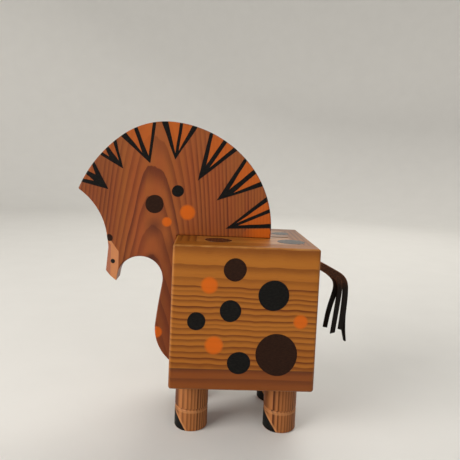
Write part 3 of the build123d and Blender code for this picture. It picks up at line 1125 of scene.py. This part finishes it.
def add_thong(name, route, material):
    """A flat leather lace along its route, square at the root and loosely turned below the bend."""
    length, *shape = THONG_SHAPES[name]
    line = route_line(name, route)
    last = len(line) - 1
    points, faces, edges = [], [], []
    for number in range(last + 1):
        ring, near = lace_ring(line, number, *shape)
        points += [tuple(point) for point in ring]
        edges += near
    for number in range(last):
        low, high = number * THONG_SIDES, (number + 1) * THONG_SIDES
        for side in range(THONG_SIDES):
            after = (side + 1) % THONG_SIDES
            faces.append((low + side, low + after, high + after, high + side))
    faces.append(tuple(reversed(range(THONG_SIDES))))
    faces.append(tuple(range(last * THONG_SIDES, (last + 1) * THONG_SIDES)))
    lace = make_piece(name + "_lace", points, faces, material, "tail_leather", ("edge", edges))
    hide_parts(name)
    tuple(line[0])


# --- assembly ---


def dress(node, material):
    """Gives a CAD node its finished material."""
    for slot in NODES[node].material_slots:
        slot.material = material


BARE_PITH, BARE_RING = Vector((0, 0.02, 0.03)), 1.6
LEGS = ("front_left_leg", "front_right_leg", "rear_left_leg", "rear_right_leg")
BODY_BOARDS = (
    "bottom_board", "left_side_board", "right_side_board", "front_board", "rear_board", "top_board",
)
# Directions of a drawing on each side: across it, up it and out of it
VIEWS = {
    "left": ((1, 0, 0), (0, 0, 1), (0, -1, 0)),
    "right": ((-1, 0, 0), (0, 0, 1), (0, 1, 0)),
    "rear": ((0, 1, 0), (0, 0, 1), (1, 0, 0)),
    "top": ((1, 0, 0), (0, 1, 0), (0, 0, 1)),
}


def right_wood(name):
    return board_wood(name, "x", spot(0, 20, 0.10), seed=5)


def rear_wood(name):
    return board_wood(name, "y", spot(92, 62), seed=11)


def finish_boards():
    """Materials of the six body boards."""
    looks = {
        "left_side_board": side_wood("left_side_board"),
        "right_side_board": right_wood("right_side_board"),
        "front_board": board_wood("front_board", "y", spot(-95, 30), seed=8),
        "rear_board": rear_wood("rear_board"),
        # The top board has the lighter, painted-light colours
        "top_board": board_wood("top_board", "x", spot(0, 150, 0.01), 14, LIT_TOP, gloss=0.4),
        "bottom_board": board_wood("bottom_board", "x", spot(0, -30, 0.02), 17, BASE),
    }
    # Painted shade in the top board's groove
    looks["top_board"].painted_groove_shade()
    for node, wood in looks.items():
        wood.joint_lines(node)
        wood.worn_and_lit_edges()
        dress(node, wood.done())


def finish_head():
    """The head plate's wood, with the muzzle's paler flats."""
    wood = head_wood("head_plate")
    cut_muzzle(wood)
    dress("head_plate", wood.done())


def finish_rest():
    """The legs and the two small pieces of bare wood."""
    for seed, node in enumerate(LEGS, start=20):
        dress(node, leg_wood(node, seed=seed).done())
    for node in ("head_spline", "tail_peg"):
        wood = Wood(node, "x", BARE, seed=30)
        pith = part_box(node)[0] + BARE_PITH
        wood.finish_wood(wood.rings(pith_wood(wood, pith, BARE_RING, "x")), coat=0.0)
        dress(node, wood.done())


def orange_over(wood):
    """A wood's material with thin orange paint on it."""
    wood.orange_paint()
    return wood.done()


def paint_horse():
    """All the painted marks, in a fixed order, because they share one run of random draws."""
    black = paint("black_paint", BLACK, BLACK_WORN, roughness=0.42, specular=0.06)
    brown = paint("brown_paint", BROWN, BROWN_WORN, roughness=0.5, specular=0.05)
    lacquered = paint("lacquered_brown_paint", BROWN, BROWN_WORN, 0.5, 0.05, coat=0.7)
    plain = {"brown": brown, "black": black, "eye": brown}
    on_head = dict(plain, orange=orange_over(head_wood("orange_on_head")))
    on_left = dict(plain, orange=orange_over(side_wood("orange_on_side")))
    on_right = dict(plain, orange=orange_over(right_wood("orange_on_right")))
    on_rear = dict(plain, orange=orange_over(rear_wood("orange_on_rear")))
    body = {side: Surface(BODY_BOARDS, *view) for side, view in VIEWS.items()}
    heads = []
    for side, sign in (("left", 1), ("right", -1)):
        heads.append((side, sign, Surface(["head_plate"], *VIEWS[side])))

    brush = random.Random(11)
    for side, sign, plate in heads:
        paint_mane(side, sign, plate, on_head["orange"], black, brush)
    for side, sign, plate in heads:
        paint_dots(f"{side}_head", plate, HEAD_DOTS, partial(draw, sign), on_head, brush)
    paint_dots("left_side", body["left"], LEFT_DOTS, partial(draw, 1), on_left, brush)
    paint_dots("right_side", body["right"], RIGHT_DOTS, partial(draw, -1), on_right, brush)
    paint_dots("rear", body["rear"], REAR_DOTS, draw_rear, on_rear, brush)
    paint_dots("top", body["top"], TOP_DOTS, draw_top, {"brown": lacquered}, brush)
    for leg in LEGS:
        paint_hoof(leg, black, brush)


add_camera()
add_floor()
for light_name, light in LIGHTS.items():
    add_light(light_name, *light)
add_sky()
bpy.context.scene.view_settings.view_transform = "Standard"

tail_material = leather()
for thong, thong_route in THONG_ROUTES.items():
    add_thong(thong, thong_route, tail_material)

finish_boards()
finish_head()
finish_rest()
paint_horse()
